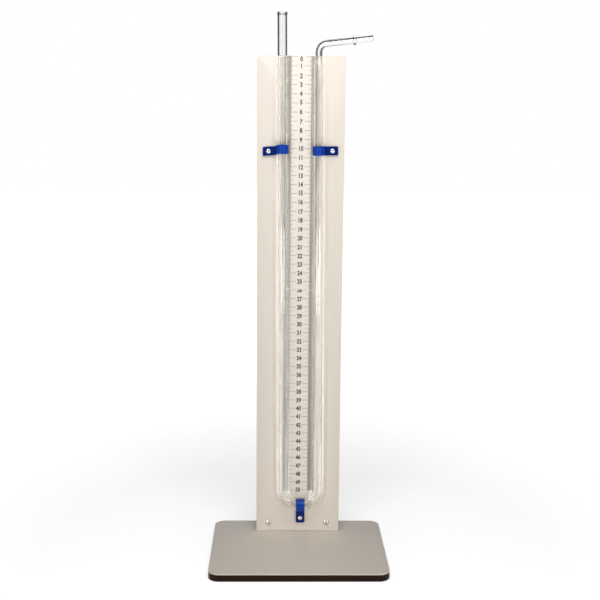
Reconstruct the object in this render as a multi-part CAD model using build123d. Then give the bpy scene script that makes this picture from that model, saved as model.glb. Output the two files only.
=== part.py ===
from build123d import *
import math
import os

# U-tube manometer on a stand, in millimetres. The origin is the centre of the base's underside,
# +Z is up and the scale faces -Y.

# One kind of sheet makes the base and the upright: a wooden core with laminate on the side that shows.
core_thickness = 7.8
laminate_thickness = 0.8

base_width = 198.0
base_depth = 151.5
base_corner_radius = 12.0

upright_width = 97.5
upright_height = 552.5
upright_corner_radius = 3.0
upright_setback = 32.6  # from the base's back edge to the upright's front face

# The centimetre scale is pasted on as two strips that meet at the join mark.
scale_width = 36.0
scale_thickness = 0.15
scale_zero_drop = 1.0  # from the upright's top edge to the zero mark
scale_length = 500.0
scale_join_mark = 260.0
scale_end_margin = 3.6

# The glass: two limbs, the bend, the drawn neck, the elbow and the side arm.
tube_radius = 5.4
tube_wall = 1.2
limb_spacing = 40.0
bend_height = 54.7  # centre of the bend above the base's top
open_limb_height = 598.4  # rim above the base's top
rim_bead_radius = 6.1
rim_bead_height = 2.9
rim_mouth_flare = 0.6
rim_lip = 0.2

shoulder_height = 541.0  # where the right limb starts to narrow, above the base's top
shoulder_length = 10.0
arm_radius = 3.7
arm_bore_radius = 2.2
elbow_height = 555.8  # where the neck starts to turn, above the base's top
elbow_radius = 9.5
arm_rise = 6.35  # degrees above the horizontal
arm_length = 51.1
stop_ring_place = 30.6  # from the end of the elbow
stop_ring_radius = 5.3
stop_ring_width = 3.8
stop_ring_slope = 1.1

nozzle_radius = 3.2  # the plain end past the stop ring, which rubber tubing is pushed over
nozzle_tip_round = 0.6
seam_turn = 45.0  # degrees, which keeps the turned pieces' seams off the bend's

# The glass hangs slightly askew on its board: its bend lies to the right of the scale's centre line.
tube_lean = 0.455  # degrees
lean_pivot_height = 404.0

# The clips: a flexible strap goes round the tube, and its two legs are pressed flat under one screw.
strap_thickness = 1.3
strap_width = 10.0
strap_tube_clearance = 0.1
strap_fold_radius = 2.0
strap_pinch = 0.8  # how far inside the fold the two legs already touch
strap_leg_end = 6.3  # from the screw to the end of the legs
strap_corner_cut = 1.0
side_clip_reach = 15.8  # from the tube's axis to the screw
bottom_clip_reach = 17.0
bottom_clip_slack = 0.9  # the bottom strap's loop is longer, because the bend curves through it
left_clip_height = 449.3
right_clip_height = 448.9
left_loop_lift = 1.6  # the left strap is twisted: its loop sits higher and its legs slope down
left_leg_drop = 1.1
twist_start = 5.5
twist_end = 7.5

# Slotted screws. The clip screws and the bracket foot screws bite into the wood.
clip_screw_radius = 1.45
clip_screw_head_radius = 2.7
clip_screw_head_height = 1.7
clip_screw_length = 9.5
foot_screw_radius = 1.6
foot_screw_head_radius = 3.0
foot_screw_head_height = 1.9
foot_screw_length = 8.0
hole_clearance = 0.15
wood_clearance = 0.02

# Two bolts hold the upright to the angle brackets behind it.
bolt_edge_distance = 14.55  # from the upright's side edges
bolt_height = 11.3
bolt_radius = 1.75
bolt_length = 16.0
bolt_head_radius = 3.5
bolt_head_height = 2.2
nut_across_flats = 6.0
nut_thickness = 2.8
thread_clearance = 0.02

bracket_leg = 20.0
bracket_width = 16.0
bracket_thickness = 2.0
bracket_bend_radius = 0.8
foot_screw_place = 12.0  # from the upright's back face

sheet_thickness = core_thickness + laminate_thickness
base_top = sheet_thickness
front_face = base_depth / 2 - upright_setback
back_face = front_face + sheet_thickness
upright_top = base_top + upright_height
scale_zero = upright_top - scale_zero_drop
tube_stand_off = strap_thickness + strap_tube_clearance + tube_radius
tube_plane = front_face - tube_stand_off
legs_height = 2 * strap_thickness
bolt_places = [side * (upright_width / 2 - bolt_edge_distance) for side in (-1, 1)]


def leaned(thing):
    """Turn what belongs to the glass by its lean, about a point on the scale's centre line."""
    pivot = Pos(0, 0, base_top + lean_pivot_height)
    return pivot * Rot(0, -tube_lean, 0) * pivot.inverse() * thing


def bar_along_y(radius, x, z, y_front, y_back):
    middle = (y_front + y_back) / 2
    return Pos(x, middle, z) * Rot(90, 0, 0) * Cylinder(radius, y_back - y_front)


# Base and upright


def base_layer(bottom, thickness):
    outline = RectangleRounded(base_width, base_depth, base_corner_radius)
    return extrude(Pos(0, 0, bottom) * outline, amount=thickness)


def upright_layer(y_front, thickness):
    outline = Rectangle(upright_width, upright_height, align=(Align.CENTER, Align.MIN))
    top_corners = outline.vertices().group_by(Axis.Y)[-1]
    outline = fillet(top_corners, upright_corner_radius)
    plane = Plane(origin=(0, y_front + thickness, base_top), x_dir=(1, 0, 0), z_dir=(0, -1, 0))
    return extrude(plane * outline, amount=thickness)


def strip_piece(top, bottom):
    outline = Rectangle(scale_width, top - bottom, align=(Align.CENTER, Align.MIN))
    plane = Plane(origin=(0, front_face, bottom), x_dir=(1, 0, 0), z_dir=(0, -1, 0))
    return extrude(plane * outline, amount=scale_thickness)


# Glass


def turned(outline, plane):
    """Revolve a closed outline, drawn as radius and height, about the plane's own axis."""
    face = Plane.XZ * make_face(outline)
    return plane.location * Rot(0, 0, seam_turn) * revolve(face, Axis.Z)


def limb_plane(side):
    return Plane(origin=(side * limb_spacing / 2, tube_plane, base_top + bend_height))


def bend_piece(radius):
    centre = (0, tube_plane, base_top + bend_height)
    start = Plane(origin=(-limb_spacing / 2, tube_plane, base_top + bend_height))
    return revolve(start * Circle(radius), Axis(centre, (0, -1, 0)), 180)


def elbow_piece(radius):
    z = base_top + elbow_height
    start = Plane(origin=(limb_spacing / 2, tube_plane, z))
    centre = (limb_spacing / 2 + elbow_radius, tube_plane, z)
    return revolve(start * Circle(radius), Axis(centre, (0, 1, 0)), 90 - arm_rise)


def arm_plane():
    turn = math.radians(90 - arm_rise)
    x = limb_spacing / 2 + elbow_radius * (1 - math.cos(turn))
    z = base_top + elbow_height + elbow_radius * math.sin(turn)
    along = (math.sin(turn), 0, math.cos(turn))
    return Plane(origin=(x, tube_plane, z), x_dir=(0, 1, 0), z_dir=along)


def open_limb_outer():
    top = open_limb_height - bend_height
    bead_start = top - rim_bead_height
    mouth = tube_radius - tube_wall + rim_mouth_flare + rim_lip
    side = [(mouth, top), (0, top), (0, 0), (tube_radius, 0), (tube_radius, bead_start)]
    bead = (rim_bead_radius, top - rim_bead_height / 2)
    return turned(Polyline(*side, bead, close=True), limb_plane(-1))


def open_limb_bore():
    top = open_limb_height - bend_height
    bore = tube_radius - tube_wall
    flare_start = top - rim_mouth_flare
    side = [(bore + rim_mouth_flare, top), (0, top), (0, 0), (bore, 0), (bore, flare_start)]
    return turned(Polyline(*side, close=True), limb_plane(-1))


def drawn_limb(wide, narrow):
    """The right limb up to the elbow: full width, then a tapered shoulder, then the narrow neck."""
    low = shoulder_height - bend_height
    high = low + shoulder_length
    end = elbow_height - bend_height
    side = [(0, 0), (wide, 0), (wide, low), (narrow, high), (narrow, end), (0, end)]
    return turned(Polyline(*side, close=True), limb_plane(1))


def arm_outer():
    """The side arm, its stop ring and the plain nozzle with a rounded tip."""
    ring_low = stop_ring_place - stop_ring_width / 2
    ring_high = stop_ring_place + stop_ring_width / 2
    side = [(0, 0), (arm_radius, 0), (arm_radius, ring_low)]
    crest = [ring_low + stop_ring_slope, ring_high - stop_ring_slope]
    side += [(stop_ring_radius, place) for place in crest]
    side += [(nozzle_radius, ring_high), (nozzle_radius, arm_length - nozzle_tip_round)]
    side += [(nozzle_radius - nozzle_tip_round, arm_length), (0, arm_length)]
    return turned(Polyline(*side, close=True), arm_plane())


def arm_bore():
    length = Pos(0, 0, arm_length / 2)
    return arm_plane().location * length * Cylinder(arm_bore_radius, arm_length)


def u_tube():
    bore = tube_radius - tube_wall
    glass = open_limb_outer() + bend_piece(tube_radius) + drawn_limb(tube_radius, arm_radius)
    glass = glass + elbow_piece(arm_radius) + arm_outer()
    hollow = open_limb_bore() + bend_piece(bore) + drawn_limb(bore, arm_bore_radius)
    hollow = hollow + elbow_piece(arm_bore_radius) + arm_bore()
    return leaned(glass - hollow)


# Clips


def strap_profile(reach, slack):
    """Edge view of a strap. The tube's centre is over the origin and the board is the line v = 0."""
    loop_radius = tube_radius + strap_tube_clearance + strap_thickness / 2
    back_leg = strap_thickness / 2
    front_leg = back_leg + strap_thickness
    rise = front_leg + strap_fold_radius - tube_stand_off
    fold_u = math.sqrt((loop_radius + strap_fold_radius) ** 2 - rise**2)
    share = loop_radius / (loop_radius + strap_fold_radius)
    leave = (fold_u * share, tube_stand_off + rise * share)
    crest = (0, tube_stand_off + loop_radius)
    turn = math.radians(45)
    half_way = (loop_radius * math.sin(turn), tube_stand_off + loop_radius * math.cos(turn))
    path = [Line((fold_u, back_leg), (-slack, back_leg))]
    path.append(
        ThreePointArc(
            (-slack, back_leg),
            (-slack - loop_radius, tube_stand_off),
            (-slack, tube_stand_off + loop_radius),
        )
    )
    if slack:
        path.append(Line((-slack, tube_stand_off + loop_radius), crest))
    path.append(ThreePointArc(crest, half_way, leave))
    path.append(TangentArc(leave, (fold_u, front_leg), tangent=path[-1] % 1))
    pinch = (fold_u - strap_pinch, front_leg)
    tongue = [(pinch[0], 0), (reach + strap_leg_end, 0), (reach + strap_leg_end, legs_height)]
    legs = make_face(Polyline(*tongue, (fold_u, legs_height), pinch, close=True))
    return trace(Curve() + path, strap_thickness) + legs


def band_outline(reach, lift, drop):
    """Front view of a strap: its loop, a short twist, and the legs down to their trimmed end."""
    loop_end = tube_radius + strap_thickness + strap_width / 2
    end = reach + strap_leg_end
    half = strap_width / 2
    upper = [(-loop_end, lift + half), (twist_start, lift + half), (twist_end, half)]
    upper.append((end, half - drop))
    lower = [(u, w - strap_width) for u, w in reversed(upper)]
    outline = make_face(Polyline(*upper, *lower, close=True))
    legs = outline.vertices().group_by(Axis.X)[-1]
    return chamfer(legs, strap_corner_cut)


def screw_place(reach, drop):
    """Where the legs' middle line passes the screw, seen from the front."""
    along = (reach - twist_end) / (reach + strap_leg_end - twist_end)
    return Pos(reach, -drop * along)


def clip(plane, reach, lift=0, drop=0, slack=0):
    """A strap seen from the front on this plane, with its legs along local X."""
    across = Plane(origin=plane.origin, x_dir=plane.x_dir, z_dir=-plane.y_dir)
    breadth = strap_width / 2 + abs(lift) + abs(drop)
    strap = extrude(across * strap_profile(reach, slack), amount=breadth, both=True)
    band = extrude(plane * band_outline(reach, lift, drop), amount=2 * tube_stand_off)
    hole = Cylinder(clip_screw_radius + hole_clearance, 2 * tube_stand_off)
    return leaned((strap & band) - plane.location * screw_place(reach, drop) * hole)


def clip_plane(x, height, outward):
    """The board's face behind the tube's centre. Local X runs out along the clip's legs."""
    return Plane(origin=(x, front_face, base_top + height), x_dir=outward, z_dir=(0, -1, 0))


def left_clip_plane():
    return clip_plane(-limb_spacing / 2, left_clip_height, (-1, 0, 0))


def right_clip_plane():
    return clip_plane(limb_spacing / 2, right_clip_height, (1, 0, 0))


def bottom_clip_plane():
    return clip_plane(0, bend_height - limb_spacing / 2, (0, 0, -1))


def clip_screw_places():
    """The board's face at each clip screw, with local Z towards the viewer."""
    left = left_clip_plane().location * screw_place(side_clip_reach, -left_leg_drop)
    right = right_clip_plane().location * screw_place(side_clip_reach, 0)
    bottom = bottom_clip_plane().location * screw_place(bottom_clip_reach, 0)
    return {"left": leaned(left), "right": leaned(right), "bottom": leaned(bottom)}


# Screws, bolts and brackets


def headed_pin(radius, length, head_radius, head_height):
    """A round head on the plane z = 0 with its shank below."""
    shank = Cylinder(radius, length, align=(Align.CENTER, Align.CENTER, Align.MAX))
    return shank + Cylinder(
        head_radius, head_height, align=(Align.CENTER, Align.CENTER, Align.MIN)
    )


def facing_front(x, y, z):
    """A place whose own +Z faces the viewer."""
    return Plane(origin=(x, y, z), x_dir=(1, 0, 0), z_dir=(0, -1, 0)).location


def clip_screw(place):
    screw = headed_pin(
        clip_screw_radius, clip_screw_length, clip_screw_head_radius, clip_screw_head_height
    )
    return place * Pos(0, 0, legs_height) * screw


def board_bolt(x):
    bolt = headed_pin(bolt_radius, bolt_length, bolt_head_radius, bolt_head_height)
    return facing_front(x, front_face, base_top + bolt_height) * bolt


def bolt_nut(x):
    y = back_face + bracket_thickness
    z = base_top + bolt_height
    corner_radius = nut_across_flats / math.sqrt(3)
    outline = RegularPolygon(corner_radius, 6) - Circle(bolt_radius + thread_clearance)
    return extrude(facing_front(x, y + nut_thickness, z) * outline, amount=nut_thickness)


def bracket(x):
    """A bent steel angle: one leg up the back of the board, one foot on the base."""
    outside = bracket_bend_radius + bracket_thickness
    leg = FilletPolyline((bracket_leg, 0), (0, 0), (0, bracket_leg), radius=outside)
    inset = bracket_thickness
    inner = FilletPolyline(
        (inset, bracket_leg), (inset, inset), (bracket_leg, inset), radius=bracket_bend_radius
    )
    ends = [
        Line((0, bracket_leg), (inset, bracket_leg)),
        Line((bracket_leg, inset), (bracket_leg, 0)),
    ]
    face = make_face(leg.edges() + inner.edges() + ends)
    plane = Plane(origin=(x, back_face, base_top), x_dir=(0, 1, 0), z_dir=(1, 0, 0))
    body = extrude(plane * face, amount=bracket_width / 2, both=True)
    bolt_hole = bar_along_y(
        bolt_radius + hole_clearance,
        x,
        base_top + bolt_height,
        back_face,
        back_face + bracket_thickness,
    )
    foot_hole = Pos(x, back_face + foot_screw_place, base_top + bracket_thickness / 2) * Cylinder(
        foot_screw_radius + hole_clearance, bracket_thickness
    )
    return body - bolt_hole - foot_hole


def foot_screw(x):
    screw = headed_pin(
        foot_screw_radius, foot_screw_length, foot_screw_head_radius, foot_screw_head_height
    )
    return Pos(x, back_face + foot_screw_place, base_top + bracket_thickness) * screw


# Holes that the screws and bolts need in the boards


def foot_screw_holes():
    depth = foot_screw_length - bracket_thickness
    hole = Cylinder(
        foot_screw_radius + wood_clearance, depth, align=(Align.CENTER, Align.CENTER, Align.MAX)
    )
    y = back_face + foot_screw_place
    return [Pos(x, y, base_top) * hole for x in bolt_places]


def clip_screw_holes():
    depth = clip_screw_length - legs_height
    hole = Cylinder(
        clip_screw_radius + wood_clearance, depth, align=(Align.CENTER, Align.CENTER, Align.MAX)
    )
    return [place * hole for place in clip_screw_places().values()]


def bolt_holes():
    radius = bolt_radius + hole_clearance
    z = base_top + bolt_height
    return [bar_along_y(radius, x, z, front_face, back_face) for x in bolt_places]


def all_parts():
    parts = {}
    parts["base_core"] = base_layer(0, core_thickness) - foot_screw_holes()
    top_laminate = base_layer(core_thickness, laminate_thickness)
    parts["base_top_laminate"] = top_laminate - foot_screw_holes()

    front_laminate = upright_layer(front_face, laminate_thickness)
    parts["upright_front_laminate"] = front_laminate - clip_screw_holes() - bolt_holes()
    core = upright_layer(front_face + laminate_thickness, core_thickness)
    parts["upright_core"] = core - clip_screw_holes() - bolt_holes()

    join = scale_zero - scale_join_mark
    parts["scale_strip_upper"] = strip_piece(upright_top, join)
    parts["scale_strip_lower"] = strip_piece(join, scale_zero - scale_length - scale_end_margin)

    parts["u_tube"] = u_tube()
    parts["tube_clip_left"] = clip(
        left_clip_plane(), side_clip_reach, lift=-left_loop_lift, drop=-left_leg_drop
    )
    parts["tube_clip_right"] = clip(right_clip_plane(), side_clip_reach)
    parts["tube_clip_bottom"] = clip(
        bottom_clip_plane(), bottom_clip_reach, slack=bottom_clip_slack
    )
    for name, place in clip_screw_places().items():
        parts["clip_screw_" + name] = clip_screw(place)

    for name, x in zip(["left", "right"], bolt_places):
        parts["board_bolt_" + name] = board_bolt(x)
        parts["bolt_nut_" + name] = bolt_nut(x)
        parts["bracket_" + name] = bracket(x)
        parts["foot_screw_" + name] = foot_screw(x)
    return parts


def main():
    os.makedirs("parts", exist_ok=True)
    for name, solid in all_parts().items():
        export_step(solid, f"parts/{name}.step")


main()
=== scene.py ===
import math

import bmesh
import bpy
from mathutils import Matrix, Vector


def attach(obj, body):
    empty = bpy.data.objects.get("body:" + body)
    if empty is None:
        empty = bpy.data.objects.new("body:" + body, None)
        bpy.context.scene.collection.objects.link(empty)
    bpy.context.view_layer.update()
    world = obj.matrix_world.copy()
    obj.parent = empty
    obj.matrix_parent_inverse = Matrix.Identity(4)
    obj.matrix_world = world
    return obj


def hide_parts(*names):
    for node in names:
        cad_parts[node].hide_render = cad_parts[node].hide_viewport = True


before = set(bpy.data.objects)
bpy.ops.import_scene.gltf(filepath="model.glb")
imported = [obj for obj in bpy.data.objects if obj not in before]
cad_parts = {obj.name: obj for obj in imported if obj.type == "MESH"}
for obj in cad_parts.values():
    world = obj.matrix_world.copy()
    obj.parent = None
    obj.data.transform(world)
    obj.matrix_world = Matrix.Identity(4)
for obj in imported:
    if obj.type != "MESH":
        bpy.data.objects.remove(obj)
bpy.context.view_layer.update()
mm = 0.001

# The base board. A rounded plate of plywood, stained dark brown and varnished on its edges and its
# underside, with a sheet of cream laminate glued on top. Two screws hold the angle brackets to it.

base_width = 198 * mm
base_depth = 151.5 * mm
base_corner = 12 * mm
core_thickness = 7.8 * mm
laminate_thickness = 0.8 * mm
base_top = core_thickness + laminate_thickness

upright_width = 97.5 * mm
upright_height = 552.5 * mm
upright_corner = 3 * mm
front_face = 43.15 * mm
back_face = front_face + base_top
upright_top = base_top + upright_height

core_easing = 0.6 * mm
laminate_easing = 0.25 * mm

bolt_x = 34.2 * mm
bolt_z = base_top + 11.3 * mm
bolt_hole_radius = 1.9 * mm
foot_screw_y = back_face + 12 * mm
foot_hole_radius = 1.62 * mm
foot_hole_length = 12 * mm  # half of it goes down into the base
left_clip_screw = (-36.2 * mm, 457.0 * mm)  # x and height of its hole in the board
right_clip_screw = (35.4 * mm, 457.8 * mm)
bottom_clip_screw = (3.1 * mm, 26.3 * mm)
clip_hole_radius = 1.47 * mm
clip_hole_length = 13.8 * mm


def sheet_of(width, height, corners, radius):
    """A flat face in the XY plane with some of its four corners rounded."""
    bm = bmesh.new()
    bmesh.ops.create_grid(bm, x_segments=1, y_segments=1, size=0.5)
    bmesh.ops.scale(bm, vec=(width, height, 1), verts=bm.verts)
    rounded = [v for v in bm.verts if v.co.y > 0 or corners == "all"]
    bmesh.ops.bevel(
        bm, geom=rounded, offset=radius, segments=10, profile=0.5, affect="VERTICES", material=-1
    )
    return bm


def thicken(bm, thickness, eased_bottom, eased_top):
    """Raise a flat face into a plate and ease the edges of either side."""
    raised = bmesh.ops.extrude_face_region(bm, geom=bm.faces)["geom"]
    top = [g for g in raised if isinstance(g, bmesh.types.BMVert)]
    bmesh.ops.translate(bm, vec=(0, 0, thickness), verts=top)
    bmesh.ops.recalc_face_normals(bm, faces=bm.faces)
    for level, easing in ((0, eased_bottom), (thickness, eased_top)):
        if easing:
            rim = [e for e in bm.edges if all(abs(v.co.z - level) < 1e-7 for v in e.verts)]
            bmesh.ops.bevel(
                bm, geom=rim, offset=easing, segments=3, profile=0.5, affect="EDGES", material=-1
            )


def loose_object(bm, name):
    """Turn a bmesh into an object, and free the bmesh."""
    mesh = bpy.data.meshes.new(name)
    bm.to_mesh(mesh)
    bm.free()
    thing = bpy.data.objects.new(name, mesh)
    bpy.context.scene.collection.objects.link(thing)
    return thing


def cut(bm, tool_bm, operation="DIFFERENCE"):
    """Drill or mill one closed shape with another, and give the result back as a bmesh."""
    body, tool = loose_object(bm, "body"), loose_object(tool_bm, "tool")
    milling = body.modifiers.new("milling", "BOOLEAN")
    milling.object, milling.operation, milling.solver = tool, operation, "EXACT"
    shaped = body.evaluated_get(bpy.context.evaluated_depsgraph_get())
    result = bmesh.new()
    result.from_mesh(shaped.to_mesh())
    shaped.to_mesh_clear()
    for used in (body, tool):
        mesh = used.data
        bpy.data.objects.remove(used)
        bpy.data.meshes.remove(mesh)
    return result


def facing_front(x, y, z):
    """A place whose own +Z comes out towards the viewer."""
    return Matrix.Translation((x, y, z)) @ Matrix.Rotation(math.radians(90), 4, "X")


def drill_bit(places, radius, length):
    """Round bars, one along the local Z of each place and centred on it."""
    bits = bmesh.new()
    for place in places:
        bmesh.ops.create_cone(
            bits, cap_ends=True, segments=40, radius1=radius, radius2=radius, depth=length,
            matrix=place,
        )
    return bits


def make_piece(bm, name, materials, node, smooth_angle=32):
    """The finished mesh as the piece that stands for one node of the frame."""
    piece = loose_object(bm, name)
    for material in materials:
        piece.data.materials.append(material)
    piece.data.shade_smooth()
    piece.data.set_sharp_from_angle(angle=math.radians(smooth_angle))
    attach(piece, "root")
    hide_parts(node)
    return piece


def soften(piece, width, segments=2):
    """A live bevel over the sharp edges of a piece."""
    bevel = piece.modifiers.new("softened edges", "BEVEL")
    bevel.width, bevel.segments, bevel.limit_method = width, segments, "ANGLE"
    bevel.angle_limit = math.radians(40)
    bevel.harden_normals = True


def add_node(tree, kind, inputs=None, **settings):
    """A shader node with its settings, and its inputs either given a value or linked."""
    node = tree.nodes.new(kind)
    for key, value in settings.items():
        setattr(node, key, value)
    for key, value in (inputs or {}).items():
        if isinstance(value, bpy.types.NodeSocket):
            tree.links.new(value, node.inputs[key])
        else:
            node.inputs[key].default_value = value
    return node


def mix_colors(tree, factor, first, second):
    """The colour that comes out of a Mix node set to colours."""
    node = add_node(tree, "ShaderNodeMix", data_type="RGBA")
    for socket, value in ((node.inputs[0], factor), (node.inputs[6], first), (node.inputs[7], second)):
        if isinstance(value, bpy.types.NodeSocket):
            tree.links.new(value, socket)
        else:
            socket.default_value = value
    return node.outputs[2]


def math_node(tree, operation, *values, clamp=False):
    """The value that comes out of a Math node."""
    inputs = dict(enumerate(values))
    node = add_node(tree, "ShaderNodeMath", inputs, operation=operation, use_clamp=clamp)
    return node.outputs[0]


def spread(tree, value, low, high, new_low=0.0, new_high=1.0):
    """Stretch part of a pattern's range over another range, clamped."""
    inputs = {"Value": value, "From Min": low, "From Max": high, "To Min": new_low, "To Max": new_high}
    return add_node(tree, "ShaderNodeMapRange", inputs).outputs[0]


def stretched(tree, vector, scale):
    """Coordinates scaled apart along each axis."""
    node = add_node(tree, "ShaderNodeVectorMath", {0: vector, 1: scale}, operation="MULTIPLY")
    return node.outputs[0]


def new_group(name, inputs, outputs):
    """An empty shader group with named sockets."""
    group = bpy.data.node_groups.new(name, "ShaderNodeTree")
    for socket, kind, value in inputs:
        made = group.interface.new_socket(socket, in_out="INPUT", socket_type="NodeSocket" + kind)
        if value is not None:
            made.default_value = value
    for socket, kind in outputs:
        group.interface.new_socket(socket, in_out="OUTPUT", socket_type="NodeSocket" + kind)
    return group, group.nodes.new("NodeGroupInput").outputs, group.nodes.new("NodeGroupOutput").inputs


# The stained grain runs along the group's X and the plies lie across its Z.
stained_grain, given, sent = new_group(
    "stained_grain",
    [
        ("Vector", "Vector", None),
        ("Dark", "Color", (0.02, 0.007, 0.003, 1)),
        ("Light", "Color", (0.1, 0.04, 0.016, 1)),
        ("Ply Thickness", "Float", 1.56 * mm),
    ],
    [("Color", "Color"), ("Roughness", "Float"), ("Height", "Float")],
)
broad = add_node(
    stained_grain, "ShaderNodeTexNoise",
    {"Vector": stretched(stained_grain, given["Vector"], (5, 42, 42)), "Scale": 1.0, "Detail": 4.0},
).outputs["Fac"]
streaks = add_node(
    stained_grain, "ShaderNodeTexNoise",
    {
        "Vector": stretched(stained_grain, given["Vector"], (26, 480, 480)),
        "Scale": 1.0, "Detail": 6.0, "Roughness": 0.62, "Distortion": 0.4,
    },
).outputs["Fac"]
pores = add_node(
    stained_grain, "ShaderNodeTexNoise",
    {"Vector": stretched(stained_grain, given["Vector"], (90, 2400, 2400)), "Scale": 1.0, "Detail": 2.0},
).outputs["Fac"]
height = add_node(stained_grain, "ShaderNodeSeparateXYZ", {0: given["Vector"]}).outputs["Z"]
ply = math_node(
    stained_grain, "PINGPONG", math_node(stained_grain, "DIVIDE", height, given["Ply Thickness"]), 1.0
)
tone = math_node(
    stained_grain, "ADD",
    math_node(stained_grain, "MULTIPLY", spread(stained_grain, streaks, 0.3, 0.7), 0.55),
    math_node(stained_grain, "MULTIPLY", spread(stained_grain, broad, 0.3, 0.7), 0.45),
)
plied = math_node(
    stained_grain, "MULTIPLY", tone, spread(stained_grain, ply, 0.35, 0.65, 0.55, 1.15), clamp=True
)
stain = mix_colors(stained_grain, plied, given["Dark"], given["Light"])
open_pores = spread(stained_grain, pores, 0.28, 0.42)
stained_grain.links.new(
    mix_colors(stained_grain, open_pores, given["Dark"], stain), sent["Color"]
)
stained_grain.links.new(spread(stained_grain, streaks, 0.3, 0.7, 0.3, 0.48), sent["Roughness"])
stained_grain.links.new(
    math_node(stained_grain, "MULTIPLY", tone, spread(stained_grain, pores, 0.28, 0.42, 0.6, 1.0)),
    sent["Height"],
)

# Two sizes of cloudy variation, for finishes that are never quite even.
mottled, given, sent = new_group(
    "mottled_finish",
    [
        ("Vector", "Vector", None),
        ("Color", "Color", (0.8, 0.8, 0.8, 1)),
        ("Shade", "Color", (0.7, 0.7, 0.7, 1)),
        ("Patches", "Float", 20.0),
        ("Amount", "Float", 0.5),
        ("Smooth", "Float", 0.3),
        ("Rough", "Float", 0.5),
    ],
    [("Color", "Color"), ("Roughness", "Float"), ("Height", "Float")],
)
clouds = add_node(
    mottled, "ShaderNodeTexNoise",
    {"Vector": given["Vector"], "Scale": given["Patches"], "Detail": 5.0, "Roughness": 0.6},
).outputs["Fac"]
specks = add_node(
    mottled, "ShaderNodeTexNoise",
    {
        "Vector": given["Vector"],
        "Scale": math_node(mottled, "MULTIPLY", given["Patches"], 17.0),
        "Detail": 4.0, "Roughness": 0.55,
    },
).outputs["Fac"]
cloud_share = spread(mottled, clouds, 0.32, 0.68)
speck_share = spread(mottled, specks, 0.3, 0.7)
both = math_node(
    mottled, "MULTIPLY", given["Amount"],
    math_node(
        mottled, "ADD",
        math_node(mottled, "MULTIPLY", cloud_share, 0.65),
        math_node(mottled, "MULTIPLY", speck_share, 0.35),
    ),
)
mottled.links.new(mix_colors(mottled, both, given["Color"], given["Shade"]), sent["Color"])
rough_spread = add_node(
    mottled, "ShaderNodeMapRange",
    {"Value": speck_share, "To Min": given["Smooth"], "To Max": given["Rough"]},
)
mottled.links.new(rough_spread.outputs[0], sent["Roughness"])
mottled.links.new(speck_share, sent["Height"])


def finish(name, group, values, bump, bump_depth, mapping=None, **shader_values):
    """A Principled material that takes its colour, roughness and bump from one of the groups."""
    material = bpy.data.materials.new(name)
    material.use_nodes = True
    tree = material.node_tree
    shader = tree.nodes["Principled BSDF"]
    coordinates = add_node(tree, "ShaderNodeTexCoord").outputs["Object"]
    if mapping:
        coordinates = add_node(
            tree, "ShaderNodeMapping", {"Vector": coordinates, "Rotation": mapping}
        ).outputs["Vector"]
    pattern = add_node(tree, "ShaderNodeGroup", node_tree=group)
    tree.links.new(coordinates, pattern.inputs["Vector"])
    for key, value in values.items():
        pattern.inputs[key].default_value = value
    relief = add_node(
        tree, "ShaderNodeBump",
        {"Height": pattern.outputs["Height"], "Strength": bump, "Distance": bump_depth},
    )
    tree.links.new(pattern.outputs["Color"], shader.inputs["Base Color"])
    tree.links.new(pattern.outputs["Roughness"], shader.inputs["Roughness"])
    tree.links.new(relief.outputs["Normal"], shader.inputs["Normal"])
    for key, value in shader_values.items():
        shader.inputs[key.replace("_", " ")].default_value = value
    return material


stain_colors = {"Dark": (0.003, 0.001, 0.0005, 1), "Light": (0.04, 0.0145, 0.0055, 1)}
stained_plywood = finish(
    "stained_plywood_base", stained_grain, stain_colors,
    bump=0.35, bump_depth=0.2 * mm, Specular_IOR_Level=0.1,
)
cream_laminate = finish(
    "cream_laminate", mottled,
    {
        "Color": (0.8, 0.73, 0.645, 1), "Shade": (0.745, 0.665, 0.57, 1), "Patches": 26.0,
        "Amount": 0.5, "Smooth": 0.33, "Rough": 0.47,
    },
    bump=0.12, bump_depth=0.08 * mm,
)

foot_screw_spots = [Matrix.Translation((x, foot_screw_y, base_top)) for x in (-bolt_x, bolt_x)]
bm = sheet_of(base_width, base_depth, "all", base_corner)
thicken(bm, core_thickness, core_easing, 0)
bm = cut(bm, drill_bit(foot_screw_spots, foot_hole_radius, foot_hole_length))
make_piece(bm, "plywood_base", [stained_plywood], "base_core")

bm = sheet_of(base_width, base_depth, "all", base_corner)
thicken(bm, laminate_thickness, 0, laminate_easing)
bmesh.ops.translate(bm, vec=(0, 0, core_thickness), verts=bm.verts)
bm = cut(bm, drill_bit(foot_screw_spots, foot_hole_radius, foot_hole_length))
make_piece(bm, "laminate_base", [cream_laminate], "base_top_laminate")

# The upright board. The same faced sheet, cut 97.5 mm wide, with its two top corners just rounded.
# It stands on the base and is bolted through to two steel angles behind it.

laminate_gap = 0.4 * mm  # the sheet stops just short of the base

stained_plywood_upright = finish(
    "stained_plywood_upright", stained_grain, stain_colors,
    bump=0.35, bump_depth=0.2 * mm, mapping=(math.radians(90), math.radians(90), 0),
    Specular_IOR_Level=0.1,
)


def upright_board(thickness, y_back, eased_back, eased_front):
    """One layer of the upright, drilled for the clip screws and the bolts."""
    bm = sheet_of(upright_width, upright_height, "top", upright_corner)
    thicken(bm, thickness, eased_back, eased_front)
    bmesh.ops.transform(
        bm, verts=bm.verts, matrix=facing_front(0, y_back, base_top + upright_height / 2)
    )
    screws = (left_clip_screw, right_clip_screw, bottom_clip_screw)
    screw_spots = [facing_front(x, front_face, z) for x, z in screws]
    bm = cut(bm, drill_bit(screw_spots, clip_hole_radius, clip_hole_length))
    bolt_spots = [facing_front(x, front_face, bolt_z) for x in (-bolt_x, bolt_x)]
    return cut(bm, drill_bit(bolt_spots, bolt_hole_radius, 4 * base_top))


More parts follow.
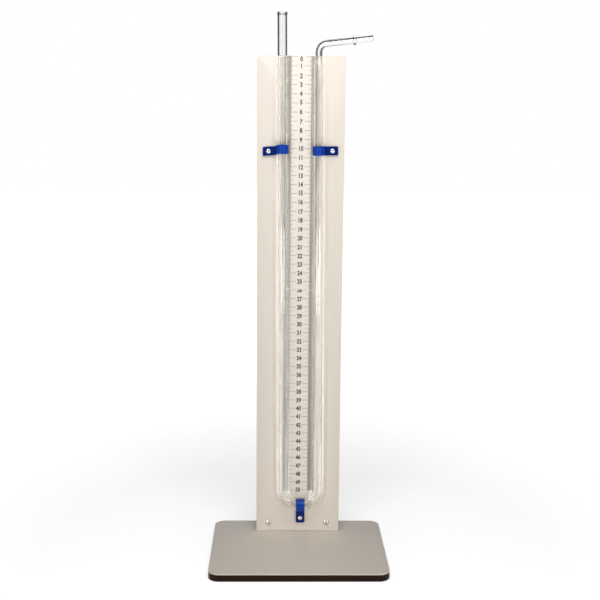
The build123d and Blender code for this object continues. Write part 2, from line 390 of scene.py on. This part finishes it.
bm = upright_board(core_thickness, back_face, core_easing, 0)
make_piece(bm, "plywood_upright", [stained_plywood_upright], "upright_core")
bm = upright_board(laminate_thickness, front_face + laminate_thickness, 0, laminate_easing)
for v in bm.verts:
    if v.co.z < base_top + 2 * laminate_gap:
        v.co.z += laminate_gap
make_piece(bm, "laminate_upright", [cream_laminate], "upright_front_laminate")

# The centimetre scale. Two strips of coated paper, printed in black and pasted on the board one
# above the other. The upper one was cut slightly askew through the figure 26.

strip_width = 36 * mm
strip_thickness = 0.15 * mm
strip_face = front_face - strip_thickness
scale_zero = upright_top - 1 * mm
scale_foot = scale_zero - 503.6 * mm
join_height = scale_zero - 259.4 * mm
join_skew = 1.5 * mm  # how far either end of the cut lies from its middle
centimetre = 10 * mm
upper_centimetre = 10.014 * mm  # the upper strip is printed a trace larger
ink_thickness = 0.02 * mm
mark_thickness = 0.34 * mm
millimetre_mark_thickness = 0.56 * mm
figure_clearance = 4.2 * mm
margin_line = 11 * mm  # where the millimetre band starts
half_mark_length = 2.3 * mm
figure_height = 7.0 * mm  # the size of the type, whose digits are 4.9 mm tall
figure_narrowing = 0.8
figure_weight = 0.27 * mm
zero_figure_drop = 2.5 * mm

scale_paper = finish(
    "scale_paper", mottled,
    {
        "Color": (0.83, 0.77, 0.69, 1), "Shade": (0.775, 0.705, 0.615, 1), "Patches": 40.0,
        "Amount": 0.5, "Smooth": 0.42, "Rough": 0.58,
    },
    bump=0.1, bump_depth=0.05 * mm,
)
printing_ink = finish(
    "printing_ink", mottled,
    {
        "Color": (0.012, 0.011, 0.01, 1), "Shade": (0.05, 0.045, 0.04, 1), "Patches": 300.0,
        "Amount": 0.7, "Smooth": 0.35, "Rough": 0.6,
    },
    bump=0.1, bump_depth=0.02 * mm,
)


def add_mark(bm, x_near, x_far, z, thickness=mark_thickness):
    """One printed line, a thin flat bar on the paper."""
    made = bmesh.ops.create_cube(bm, size=1)["verts"]
    bmesh.ops.scale(bm, vec=(x_far - x_near, ink_thickness, thickness), verts=made)
    centre = ((x_near + x_far) / 2, strip_face - ink_thickness / 2, z)
    bmesh.ops.translate(bm, vec=centre, verts=made)


def add_figure(bm, number, z):
    """One printed number, set in the built-in face, narrowed and made bold."""
    type_curve = bpy.data.curves.new("figure", "FONT")
    type_curve.body = str(number)
    type_curve.size = figure_height
    type_curve.offset = figure_weight
    type_curve.extrude = ink_thickness / 2
    type_curve.resolution_u = 5
    type_curve.align_x, type_curve.align_y = "CENTER", "CENTER"
    figure = bpy.data.objects.new("figure", type_curve)
    bpy.context.scene.collection.objects.link(figure)
    mesh = bpy.data.meshes.new_from_object(
        figure.evaluated_get(bpy.context.evaluated_depsgraph_get())
    )
    middle = sum((v.co.y for v in mesh.vertices)) / len(mesh.vertices)
    mesh.transform(
        facing_front(0, strip_face - ink_thickness / 2, z)
        @ Matrix.Diagonal((figure_narrowing, 1, 1, 1))
        @ Matrix.Translation((0, -middle, 0))
    )
    bm.from_mesh(mesh)
    bpy.data.objects.remove(figure)
    bpy.data.curves.remove(type_curve)
    bpy.data.meshes.remove(mesh)


def printed_strip(name, node, first, last, pitch, top, bottom, keep_upper_side):
    """A strip of paper with its marks and figures, cut off along the join."""
    ink = bmesh.new()
    for mark in range(first, last + 1):
        z = scale_zero - mark * pitch / 10
        if bottom < z < top:
            for side in (-1, 1):
                add_mark(
                    ink, side * margin_line, side * strip_width / 2, z, millimetre_mark_thickness
                )
                if mark % 10 == 0:
                    add_mark(ink, side * figure_clearance, side * margin_line, z)
                elif mark % 5 == 0:
                    add_mark(ink, side * (margin_line - half_mark_length), side * margin_line, z)
        if mark % 10 == 0:
            drop = zero_figure_drop if mark == 0 else 0
            add_figure(ink, mark // 10, z - drop)
    for face in ink.faces:
        face.material_index = 1
    cut_line = Vector((-strip_width, 0, 2 * join_skew)).normalized()
    normal = cut_line.cross(Vector((0, 1, 0)))
    cut_point = (0, 0, join_height)
    if (normal.z > 0) != keep_upper_side:
        normal.negate()
    bmesh.ops.bisect_plane(
        ink, geom=ink.verts[:] + ink.edges[:] + ink.faces[:], dist=1e-7,
        plane_co=cut_point, plane_no=normal, clear_inner=True,
    )
    bm = bmesh.new()
    made = bmesh.ops.create_cube(bm, size=1)["verts"]
    bmesh.ops.scale(bm, vec=(strip_width, strip_thickness, top - bottom), verts=made)
    middle = (0, front_face - strip_thickness / 2, (top + bottom) / 2)
    bmesh.ops.translate(bm, vec=middle, verts=made)
    for v in bm.verts:
        if abs(v.co.z - join_height) < 1e-6:
            v.co.z += -join_skew if v.co.x > 0 else join_skew
    printed = bpy.data.meshes.new("printed")
    ink.to_mesh(printed)
    ink.free()
    bm.from_mesh(printed)
    bpy.data.meshes.remove(printed)
    bmesh.ops.recalc_face_normals(bm, faces=bm.faces)
    make_piece(bm, name, [scale_paper, printing_ink], node)


printed_strip(
    "paper_scale_upper", "scale_strip_upper", 0, 259, upper_centimetre,
    upright_top, join_height, True,
)
printed_strip(
    "paper_scale_lower", "scale_strip_lower", 259, 500, centimetre,
    join_height, scale_foot, False,
)

# The glass. One length of clear tube, 10.8 mm across, bent to a U in the flame. Its open rim is
# fire polished to a bead; the other limb is drawn down, turned over and given a stop ring.

tube_radius = 5.4 * mm
bore_radius = 4.2 * mm
limb_x = 20 * mm
tube_y = 36.35 * mm
bend_z = base_top + 54.7 * mm
rim_z = base_top + 598.4 * mm
shoulder_z = base_top + 541 * mm
shoulder_length = 10 * mm
elbow_z = base_top + 555.8 * mm
elbow_radius = 9.5 * mm
arm_rise = 6.35  # degrees above the horizontal
elbow_turn = math.radians(90 - arm_rise)
arm_length = 51.1 * mm
arm_radius = 3.7 * mm
arm_bore = 2.2 * mm
ring_place = 30.6 * mm
ring_half = 1.9 * mm
ring_radius = 5.3 * mm
ring_fullness = 0.62  # below 1, the stop ring's section is blunter than an ellipse
nozzle_radius = 3.2 * mm
nozzle_tip_length = 0.6 * mm
nozzle_tip_crest = 2.62 * mm
tube_lean = -0.455  # degrees
lean_pivot = base_top + 404 * mm  # the height that the lean leaves in place
lean = (
    Matrix.Translation((0, 0, lean_pivot))
    @ Matrix.Rotation(math.radians(tube_lean), 4, "Y")
    @ Matrix.Translation((0, 0, -lean_pivot))
)
straight_up = Vector((0, 0, 1))
along_arm = Vector((math.sin(elbow_turn), 0, math.cos(elbow_turn)))


def grow(bm, row, step, factor=1.0):
    """Extrude a row of edges by a step, scale the new row about its middle, and return it."""
    made = bmesh.ops.extrude_edge_only(bm, edges=row)["geom"]
    verts = [g for g in made if isinstance(g, bmesh.types.BMVert)]
    bmesh.ops.translate(bm, vec=step, verts=verts)
    if factor != 1.0:
        centre = sum((v.co for v in verts), Vector()) / len(verts)
        bmesh.ops.scale(
            bm, vec=(factor,) * 3, verts=verts, space=Matrix.Translation(-centre)
        )
    fresh = set(verts)
    return [g for g in made if isinstance(g, bmesh.types.BMEdge) and fresh.issuperset(g.verts)]


def turn_row(bm, row, centre, axis, angle, steps):
    """Spin a row of edges round an axis and return the last row."""
    verts = {v for e in row for v in e.verts}
    made = bmesh.ops.spin(
        bm, geom=list(row) + list(verts), cent=centre, axis=axis, angle=angle, steps=steps,
        use_duplicate=False, use_merge=False,
    )["geom_last"]
    fresh = {g for g in made if isinstance(g, bmesh.types.BMVert)}
    return [g for g in made if isinstance(g, bmesh.types.BMEdge) and fresh.issuperset(g.verts)]


def follow(bm, row, direction, profile):
    """Grow a ring through (distance, radius) pairs, counted from the pair it stands at."""
    for (here, old), (there, new) in zip(profile, profile[1:]):
        row = grow(bm, row, direction * (there - here), new / old)
    return row


def skin(bm, rim_profile, limb, neck, arm_profile):
    """One wall of the tube, from the open rim round to the nozzle's tip."""
    ring = bmesh.ops.create_circle(
        bm, cap_ends=False, segments=64, radius=rim_profile[0][1],
        matrix=Matrix.Translation((-limb_x, tube_y, rim_profile[0][0])),
    )["verts"]
    first = list({e for v in ring for e in v.link_edges})
    row = follow(bm, first, straight_up, rim_profile)
    straight = [(rim_profile[-1][0] + (bend_z - rim_profile[-1][0]) * n / 8, limb) for n in range(9)]
    row = follow(bm, row, straight_up, straight)
    row = turn_row(bm, row, (0, tube_y, bend_z), (0, -1, 0), math.pi, 56)
    straight = [(bend_z + (shoulder_z - bend_z) * n / 8, limb) for n in range(9)]
    row = follow(bm, row, straight_up, straight)
    shoulder = []
    for n in range(13):
        share = n / 12
        eased = share * share * (3 - 2 * share)
        shoulder.append((shoulder_z + shoulder_length * share, limb + (neck - limb) * eased))
    row = follow(bm, row, straight_up, shoulder)
    row = grow(bm, row, straight_up * (elbow_z - shoulder_z - shoulder_length))
    centre = (limb_x + elbow_radius, tube_y, elbow_z)
    row = turn_row(bm, row, centre, (0, 1, 0), elbow_turn, 30)
    return first, follow(bm, row, along_arm, arm_profile)


def tip_profile(radius, start, crest, end):
    """A rounded end: from full radius at start to the crest radius at the end."""
    turns = [math.radians(90 * n / 5) for n in range(6)]
    return [
        (start + (end - start) * math.sin(t), crest + (radius - crest) * math.cos(t)) for t in turns
    ]


ring_shape = []
for n in range(17):
    turn = math.pi * n / 16
    place = ring_place - ring_half * math.cos(turn)
    foot = arm_radius if turn < math.pi / 2 else nozzle_radius
    ring_shape.append((place, foot + (ring_radius - foot) * math.sin(turn) ** ring_fullness))

# The rim's two sides as (height, radius) pairs, from the top of its bead down.
outer_rim = [
    (rim_z, 5.05 * mm), (rim_z - 0.08 * mm, 5.4 * mm), (rim_z - 0.35 * mm, 5.75 * mm),
    (rim_z - 0.8 * mm, 6.0 * mm), (rim_z - 1.4 * mm, 6.1 * mm), (rim_z - 1.95 * mm, 5.98 * mm),
    (rim_z - 2.4 * mm, 5.75 * mm), (rim_z - 2.8 * mm, 5.55 * mm), (rim_z - 3.3 * mm, 5.43 * mm),
    (rim_z - 4 * mm, tube_radius),
]
inner_rim = [
    (rim_z - 0.1 * mm, 4.75 * mm), (rim_z - 0.35 * mm, 4.55 * mm), (rim_z - 0.9 * mm, 4.36 * mm),
    (rim_z - 1.8 * mm, 4.24 * mm), (rim_z - 3 * mm, bore_radius),
]
outer_arm = [(0, arm_radius)] + ring_shape
outer_arm += tip_profile(
    nozzle_radius, arm_length - nozzle_tip_length, nozzle_tip_crest, arm_length
)
inner_arm = [(0, arm_bore), (arm_length - 0.5 * mm, arm_bore), (arm_length - 0.12 * mm, 2.34 * mm)]

bm = bmesh.new()
outer_mouth, outer_tip = skin(bm, outer_rim, tube_radius, arm_radius, outer_arm)
inner_mouth, inner_tip = skin(bm, inner_rim, bore_radius, arm_bore, inner_arm)
bmesh.ops.bridge_loops(bm, edges=outer_mouth + inner_mouth)
bmesh.ops.bridge_loops(bm, edges=outer_tip + inner_tip)
bmesh.ops.recalc_face_normals(bm, faces=bm.faces)
bmesh.ops.transform(bm, verts=bm.verts, matrix=lean)

clear_glass = bpy.data.materials.new("clear_glass")
clear_glass.use_nodes = True
tree = clear_glass.node_tree
shader = tree.nodes["Principled BSDF"]
shader.inputs["Base Color"].default_value = (0.975, 0.985, 0.98, 1)
shader.inputs["Transmission Weight"].default_value = 1.0
shader.inputs["IOR"].default_value = 1.5
place = add_node(tree, "ShaderNodeTexCoord").outputs["Object"]
drawn_lines = add_node(
    tree, "ShaderNodeTexNoise",
    {"Vector": stretched(tree, place, (160, 160, 6)), "Scale": 1.0, "Detail": 2.0},
).outputs["Fac"]
handling = add_node(
    tree, "ShaderNodeTexNoise", {"Vector": place, "Scale": 55.0, "Detail": 6.0}
).outputs["Fac"]
tree.links.new(spread(tree, handling, 0.55, 0.8, 0.0, 0.03), shader.inputs["Roughness"])
waviness = add_node(
    tree, "ShaderNodeBump", {"Height": drawn_lines, "Strength": 0.004, "Distance": 0.1 * mm}
)
tree.links.new(waviness.outputs["Normal"], shader.inputs["Normal"])
grazing = add_node(tree, "ShaderNodeLayerWeight", {"Blend": 0.5}).outputs["Facing"]
let_through = mix_colors(
    tree, spread(tree, grazing, 0.12, 0.6), (0.96, 0.96, 0.96, 1), (0.2, 0.2, 0.2, 1)
)
light_shadow = add_node(tree, "ShaderNodeBsdfTransparent", {"Color": let_through})
shadow_rays = add_node(tree, "ShaderNodeLightPath").outputs["Is Shadow Ray"]
mixed = add_node(
    tree, "ShaderNodeMixShader", {0: shadow_rays, 1: shader.outputs[0], 2: light_shadow.outputs[0]}
)
tree.links.new(mixed.outputs[0], tree.nodes["Material Output"].inputs["Surface"])
make_piece(bm, "glass_u_tube", [clear_glass], "u_tube", smooth_angle=60)

# The three clips. Each is a short strap of smooth blue plastic folded round the tube, its two
# legs pressed flat together under one screw. The left one was screwed down slightly twisted.

strap_thickness = 1.3 * mm
strap_half = 5 * mm
stand_off = 6.8 * mm  # from the board to the tube's axis
loop_radius = 6.15 * mm
fold_radius = 2 * mm
back_leg = 0.65 * mm
front_leg = 1.95 * mm
fold_z = front_leg + fold_radius
fold_u = math.sqrt((loop_radius + fold_radius) ** 2 - (fold_z - stand_off) ** 2)
leave_angle = math.asin((stand_off - fold_z) / (loop_radius + fold_radius))
leg_past_screw = 6.3 * mm
corner_round = 1.3 * mm
twist_start = 5.5 * mm
twist_end = 7.5 * mm
side_reach = 15.8 * mm  # from the tube's axis to the screw
bottom_reach = 17 * mm
bottom_slack = 0.9 * mm  # the bend's loop is longer, because the tube curves through it
left_loop_lift = -1.6 * mm
left_leg_drop = -1.1 * mm
press_depth = 0.16 * mm  # how far the screw's head presses the legs in
press_spread = 3.3 * mm
legs_y = 40.5 * mm
loop_y = 34 * mm  # by here, over the tube, the plastic is painted its palest, a painted highlight on the raised loop

blue_plastic = finish(
    "blue_strap", mottled,
    {
        "Color": (0.002, 0.02, 0.19, 1), "Shade": (0.001, 0.008, 0.11, 1), "Patches": 120.0,
        "Amount": 0.6, "Smooth": 0.2, "Rough": 0.34,
    },
    bump=0.12, bump_depth=0.06 * mm, Specular_IOR_Level=0.2,
)
tree = blue_plastic.node_tree
shader = tree.nodes["Principled BSDF"]
pattern_color = shader.inputs["Base Color"].links[0].from_socket
# Painted light and shade: the blue is painted paler towards the loop over the tube, as if lit, and
# darker on the legs by the board, as if shaded.
place = add_node(tree, "ShaderNodeTexCoord").outputs["Object"]
forward = add_node(tree, "ShaderNodeSeparateXYZ", {0: place}).outputs["Y"]
painted_light_share = spread(tree, forward, legs_y, loop_y)
tree.links.new(
    mix_colors(tree, painted_light_share, pattern_color, (0.004, 0.05, 0.36, 1)),
    shader.inputs["Base Color"],
)


def strap(reach, slack, lift, drop):
    """A strap in the board's own frame: X along the legs, Y across them, Z off the board."""
    bm = bmesh.new()
    end = reach + leg_past_screw
    ends = [bm.verts.new((end, side * strap_half, back_leg)) for side in (-1, 1)]
    edge = bm.edges.new(ends)
    bmesh.ops.subdivide_edges(bm, edges=[edge], cuts=11)
    row = bm.edges[:]
    rows = 26
    for n in range(rows):
        row = grow(bm, row, (-(end + slack) / rows, 0, 0))
    row = turn_row(bm, row, (-slack, 0, stand_off), (0, 1, 0), math.pi, 26)
    if slack:
        row = grow(bm, row, (slack, 0, 0))
    row = turn_row(bm, row, (0, 0, stand_off), (0, 1, 0), math.pi / 2 + leave_angle, 18)
    row = turn_row(bm, row, (fold_u, 0, fold_z), (0, -1, 0), math.pi / 2 + leave_angle, 14)
    for n in range(rows):
        row = grow(bm, row, ((end - fold_u) / rows, 0, 0))
    bmesh.ops.remove_doubles(bm, verts=bm.verts, dist=1e-6)
    for v in bm.verts:
        u, w = v.co.x, v.co.y
        to_end = end - u
        if to_end < corner_round:
            inwards = min(max(corner_round - to_end, 0), corner_round)
            trimmed = corner_round - math.sqrt(corner_round**2 - inwards**2)
            v.co.y *= (strap_half - trimmed) / strap_half
        press = math.exp(-(((u - reach) ** 2 + w**2) / press_spread**2))
        if v.co.z > back_leg * 1.5:
            v.co.z -= press_depth * press
        share = min(max((u - twist_start) / (twist_end - twist_start), 0), 1)
        share = share * share * (3 - 2 * share)
        slope = max(u - twist_end, 0) / (end - twist_end)
        v.co.y += lift * (1 - share) - drop * slope
    bmesh.ops.recalc_face_normals(bm, faces=bm.faces)
    return bm


def clip_frame(x, z, outward):
    """The board's frame behind a clip: X out along its legs, Z towards the viewer."""
    x_axis, z_axis = Vector(outward), Vector((0, -1, 0))
    y_axis = z_axis.cross(x_axis)
    turn = Matrix((x_axis, y_axis, z_axis)).transposed().to_4x4()
    return lean @ Matrix.Translation((x, front_face, z)) @ turn


def fit_strap(name, node, frame_of_clip, bm):
    """Move a strap to its clip's place, and give it its thickness."""
    bmesh.ops.transform(bm, verts=bm.verts, matrix=frame_of_clip)
    piece = make_piece(bm, name, [blue_plastic], node, smooth_angle=50)
    wall = piece.modifiers.new("strap thickness", "SOLIDIFY")
    wall.thickness, wall.offset = strap_thickness - 0.05 * mm, 0
    soften(piece, 0.28 * mm, segments=3)


left_clip = clip_frame(-limb_x, base_top + 449.3 * mm, (-1, 0, 0))
right_clip = clip_frame(limb_x, base_top + 448.9 * mm, (1, 0, 0))
bottom_clip = clip_frame(0, bend_z - limb_x, (0, 0, -1))
left_strap = strap(side_reach, 0, left_loop_lift, left_leg_drop)
fit_strap("strap_left", "tube_clip_left", left_clip, left_strap)
fit_strap("strap_right", "tube_clip_right", right_clip, strap(side_reach, 0, 0, 0))
bottom_strap = strap(bottom_reach, bottom_slack, 0, 0)
fit_strap("strap_bottom", "tube_clip_bottom", bottom_clip, bottom_strap)

# The screws and bolts. Bright slotted screws hold the clips and the brackets to the wood, and two
# round-headed bolts go through the upright. All are turned from bar, milled, and plated.

bright_plating = finish(
    "bright_plating", mottled,
    {
        "Color": (0.82, 0.81, 0.79, 1), "Shade": (0.6, 0.59, 0.57, 1), "Patches": 420.0,
        "Amount": 0.6, "Smooth": 0.16, "Rough": 0.34,
    },
    bump=0.15, bump_depth=0.03 * mm, Metallic=1.0,
)
zinc_plating = finish(
    "zinc_plating", mottled,
    {
        "Color": (0.62, 0.63, 0.64, 1), "Shade": (0.42, 0.43, 0.45, 1), "Patches": 160.0,
        "Amount": 0.8, "Smooth": 0.3, "Rough": 0.5,
    },
    bump=0.2, bump_depth=0.05 * mm, Metallic=1.0,
)

# Each head is its radius and height, each shank its radius and length, each slot its width and depth.
clip_head, clip_shank, clip_slot = (2.7 * mm, 1.7 * mm), (1.45 * mm, 9.5 * mm), (0.75 * mm, 0.85 * mm)
bolt_head, bolt_shank, bolt_slot = (3.5 * mm, 2.2 * mm), (1.75 * mm, 16 * mm), (0.9 * mm, 1.0 * mm)
foot_head, foot_shank, foot_slot = (3 * mm, 1.9 * mm), (1.6 * mm, 8 * mm), (0.8 * mm, 0.9 * mm)
head_chamfer = 0.12 * mm
point_chamfer = 0.5 * mm
fastener_easing = 0.07 * mm
legs_height = 2.6 * mm
steel = 2 * mm  # the thickness of the angles behind the upright


def turned_bar(profile):
    """Spin a profile of (radius, height) pairs round Z into a closed piece."""
    bm = bmesh.new()
    verts = [bm.verts.new((r, 0, z)) for r, z in profile]
    for a, b in zip(verts, verts[1:]):
        bm.edges.new((a, b))
    bmesh.ops.spin(
        bm, geom=bm.verts[:] + bm.edges[:], cent=(0, 0, 0), axis=(0, 0, 1), angle=2 * math.pi,
        steps=48, use_duplicate=False, use_merge=True,
    )
    bmesh.ops.remove_doubles(bm, verts=bm.verts, dist=1e-6)
    bmesh.ops.recalc_face_normals(bm, faces=bm.faces)
    return bm


def slotted_fastener(head, shank, slot, place, slot_angle):
    """A domed head with a milled slot over a plain shank, put in its place."""
    (head_radius, head_height), (shank_radius, length), (width, depth) = head, shank, slot
    wall = head_height * 0.3
    dome = []
    for n in range(9):
        turn = math.radians(90 * n / 8)
        dome.append(
            (head_radius * math.sin(turn), wall + (head_height - wall) * math.cos(turn) ** 0.9)
        )
    profile = dome + [(head_radius, head_chamfer), (head_radius - head_chamfer, 0)]
    profile += [(shank_radius, 0), (shank_radius, -length + point_chamfer)]
    profile += [(shank_radius - point_chamfer, -length), (0, -length)]
    bm = turned_bar([(max(r, 0), z) for r, z in profile])
    mill = bmesh.new()
    bmesh.ops.create_cube(mill, size=1)
    bmesh.ops.scale(mill, vec=(3 * head_radius, width, 2 * depth), verts=mill.verts)
    bmesh.ops.translate(mill, vec=(0, 0, head_height), verts=mill.verts)
    bm = cut(bm, mill)
    bmesh.ops.transform(
        bm, verts=bm.verts, matrix=place @ Matrix.Rotation(math.radians(slot_angle), 4, "Z")
    )
    return bm


def plated_fastener(name, node, bm):
    """A finished screw or bolt as the piece for its node."""
    piece = make_piece(bm, name, [bright_plating], node)
    soften(piece, fastener_easing)


slope_length = side_reach + leg_past_screw - twist_end
drop_at_screw = -left_leg_drop * (side_reach - twist_end) / slope_length
strap_screws = [
    ("left", left_clip, side_reach, drop_at_screw, 245),
    ("right", right_clip, side_reach, 0, 58),
    ("bottom", bottom_clip, bottom_reach, 0, 142),
]
for side, frame_of_clip, reach, across, slot_angle in strap_screws:
    place = frame_of_clip @ Matrix.Translation((reach, across, legs_height))
    bm = slotted_fastener(clip_head, clip_shank, clip_slot, place, slot_angle)
    plated_fastener("strap_screw_" + side, "clip_screw_" + side, bm)

for side, x, slot_angle in (("left", -bolt_x, 60), ("right", bolt_x, 80)):
    place = facing_front(x, front_face, bolt_z)
    bm = slotted_fastener(bolt_head, bolt_shank, bolt_slot, place, slot_angle)
    plated_fastener("round_bolt_" + side, "board_bolt_" + side, bm)

    place = Matrix.Translation((x, foot_screw_y, base_top + steel))
    bm = slotted_fastener(foot_head, foot_shank, foot_slot, place, 20)
    plated_fastener("bracket_screw_" + side, "foot_screw_" + side, bm)

# The angles and nuts behind the upright. Each angle is a strip of 2 mm zinc plated steel, bent
# square; a plain hexagon nut closes the bolt on it.

angle_leg = 20 * mm
angle_half = 8 * mm
angle_corner = 2.5 * mm
corner_reach = 2.8 * mm
nut_flats = 6 * mm
nut_corner = nut_flats / math.sqrt(3)
nut_thickness = 2.8 * mm
nut_hole_radius = 1.77 * mm
nut_face_inset = 0.15 * mm  # the chamfer's start, inside the flats
nut_chamfer_height = 0.32 * mm
nut_past_corner = 0.02 * mm


def bent_angle(x):
    """A strip bent square behind the upright, with the corners of both legs rounded."""
    bm = bmesh.new()
    y, z = back_face + steel / 2, base_top + angle_leg
    ends = [bm.verts.new((x + side * angle_half, y, z)) for side in (-1, 1)]
    row = [bm.edges.new(ends)]
    row = grow(bm, row, (0, 0, corner_reach - angle_leg))
    centre = (x, back_face + corner_reach, base_top + corner_reach)
    row = turn_row(bm, row, centre, (1, 0, 0), math.pi / 2, 8)
    row = grow(bm, row, (0, angle_leg - corner_reach, 0))
    bm.verts.ensure_lookup_table()
    corners = [v for v in bm.verts if len(v.link_edges) == 2]
    bmesh.ops.bevel(
        bm, geom=corners, offset=angle_corner, segments=6, profile=0.5, affect="VERTICES", material=-1
    )
    bmesh.ops.recalc_face_normals(bm, faces=bm.faces)
    bmesh.ops.solidify(bm, geom=bm.faces[:], thickness=steel)
    return bm


def hexagon_nut(x):
    """A chamfered hexagon with a plain hole, seated on the angle's back."""
    bm = bmesh.new()
    bmesh.ops.create_cone(
        bm, cap_ends=True, segments=6, radius1=nut_corner, radius2=nut_corner, depth=nut_thickness
    )
    half = nut_thickness / 2
    flat_end = nut_flats / 2 - nut_face_inset
    widest = nut_corner + nut_past_corner
    shoulder_height = half - nut_chamfer_height
    chamfers = turned_bar([
        (0, half), (flat_end, half), (widest, shoulder_height),
        (widest, -shoulder_height), (flat_end, -half), (0, -half),
    ])
    bm = cut(bm, chamfers, "INTERSECT")
    bm = cut(bm, drill_bit([Matrix.Identity(4)], nut_hole_radius, 2 * nut_thickness))
    place = facing_front(x, back_face + steel + half, bolt_z)
    bmesh.ops.transform(bm, verts=bm.verts, matrix=place)
    return bm


for side, x in (("left", -bolt_x), ("right", bolt_x)):
    for bm, name, node, easing in (
        (bent_angle(x), "steel_angle_", "bracket_", 0.2 * mm),
        (hexagon_nut(x), "hexagon_nut_", "bolt_nut_", 0.08 * mm),
    ):
        piece = make_piece(bm, name + side, [zinc_plating], node + side)
        soften(piece, easing)

# The stage: a white sweep under and behind the apparatus. It shows as white to the camera and
# in reflections, and keeps the soft shadow under the base.


def seen_directly(tree):
    """1 for what the camera sees itself, in a reflection or through the glass, otherwise 0."""
    path = add_node(tree, "ShaderNodeLightPath").outputs
    by_light = math_node(tree, "MAXIMUM", path["Is Glossy Ray"], path["Is Transmission Ray"])
    return math_node(tree, "MAXIMUM", path["Is Camera Ray"], by_light)


glow_start = 0.3  # metres from the middle of the base
glow_full = 0.9

floor_bm = bmesh.new()
bmesh.ops.create_grid(floor_bm, x_segments=1, y_segments=1, size=6)
floor = loose_object(floor_bm, "white_floor")

white_floor = bpy.data.materials.new("white_floor")
white_floor.use_nodes = True
tree = white_floor.node_tree
shader = tree.nodes["Principled BSDF"]
shader.inputs["Base Color"].default_value = (0.8, 0.8, 0.8, 1)
shader.inputs["Roughness"].default_value = 0.9
shader.inputs["Specular IOR Level"].default_value = 0.0
floor.data.materials.append(white_floor)
floor_place = add_node(tree, "ShaderNodeTexCoord").outputs["Object"]
distance = add_node(
    tree, "ShaderNodeVectorMath", {0: floor_place}, operation="LENGTH"
).outputs["Value"]
strength = math_node(
    tree, "MULTIPLY", seen_directly(tree), spread(tree, distance, glow_start, glow_full, 0.62, 1.0)
)
glow = add_node(tree, "ShaderNodeEmission", {"Color": (1, 1, 1, 1), "Strength": strength})
total = add_node(tree, "ShaderNodeAddShader", {0: shader.outputs[0], 1: glow.outputs[0]})
tree.links.new(total.outputs[0], tree.nodes["Material Output"].inputs["Surface"])

world = bpy.data.worlds.new("studio")
bpy.context.scene.world = world
world.use_nodes = True
tree = world.node_tree
background = tree.nodes["Background"]
tree.links.new(
    mix_colors(tree, seen_directly(tree), (0.16, 0.16, 0.16, 1), (1, 1, 1, 1)),
    background.inputs["Color"],
)

# The lights: a large soft one overhead, a small one near the top of the board, and two small low
# ones to either side, whose reflections run up the glass.


def soft_light(name, place, target, size, power):
    """A rectangular light at a place, turned towards its target."""
    lamp = bpy.data.lights.new(name, "AREA")
    lamp.shape = "RECTANGLE"
    lamp.size, lamp.size_y = size
    lamp.energy = power
    light = bpy.data.objects.new(name, lamp)
    light.location = place
    light.rotation_mode = "QUATERNION"
    light.rotation_quaternion = (Vector(target) - Vector(place)).to_track_quat("-Z", "Y")
    bpy.context.scene.collection.objects.link(light)


soft_light(
    "overhead_light", place=(0, -0.55, 1.4), target=(0, 0, 0.1), size=(0.8, 0.6), power=3.6
)
soft_light(
    "top_light", place=(0, -0.31, 0.75), target=(0, 0.04, 0.45), size=(0.35, 0.2), power=1.1
)
for side, x in (("left", -0.67), ("right", 0.67)):
    soft_light(
        "low_light_" + side, place=(x, -0.95, 0.147), target=(0, 0.036, 0.3), size=(0.13, 0.19),
        power=3.2,
    )

# Dark cards stand beside and above the glass and behind the camera, so that clear glass and bright
# metal keep their edges against the white. They are seen only in reflections and through the glass.

dark_card = bpy.data.materials.new("dark_card")
dark_card.use_nodes = True
shader = dark_card.node_tree.nodes["Principled BSDF"]
shader.inputs["Base Color"].default_value = (0.03, 0.03, 0.03, 1)
upright_sideways = Matrix.Rotation(math.radians(90), 4, "Y")
upright_across = Matrix.Rotation(math.radians(90), 4, "X")
for name, place, turn, size in (
    ("card_left", (-0.4, 0.6, 0.6), upright_sideways, (1.3, 2.0)),
    ("card_right", (0.4, 0.6, 0.6), upright_sideways, (1.3, 2.0)),
    ("card_above", (0, 0.6, 1.0), Matrix.Identity(4), (0.8, 2.0)),
    ("card_front", (0, -2.2, 0.8), upright_across, (1.8, 1.6)),
):
    card_bm = bmesh.new()
    bmesh.ops.create_grid(card_bm, x_segments=1, y_segments=1, size=0.5)
    bmesh.ops.scale(card_bm, vec=(*size, 1), verts=card_bm.verts)
    bmesh.ops.transform(card_bm, verts=card_bm.verts, matrix=Matrix.Translation(place) @ turn)
    card = loose_object(card_bm, name)
    card.data.materials.append(dark_card)
    card.visible_camera = card.visible_diffuse = card.visible_shadow = False

# The camera stands where the photograph was taken from, about a metre in front.

camera_place = (-0.024527, -1.1172, 0.493445)
camera_swing = -1.2434  # degrees round the vertical
camera_pitch = -10.021
camera_roll = 0.5276
camera_lens = 61.743  # millimetres, on a sensor 36 mm wide

camera_data = bpy.data.cameras.new("camera")
camera_data.sensor_width = 36
camera_data.lens = camera_lens
camera = bpy.data.objects.new("camera", camera_data)
camera.matrix_world = (
    Matrix.Translation(camera_place)
    @ Matrix.Rotation(math.radians(camera_swing), 4, "Z")
    @ Matrix.Rotation(math.radians(90 + camera_pitch), 4, "X")
    @ Matrix.Rotation(math.radians(camera_roll), 4, "Z")
)
bpy.context.scene.collection.objects.link(camera)
bpy.context.scene.camera = camera
bpy.context.scene.view_settings.view_transform = "Standard"
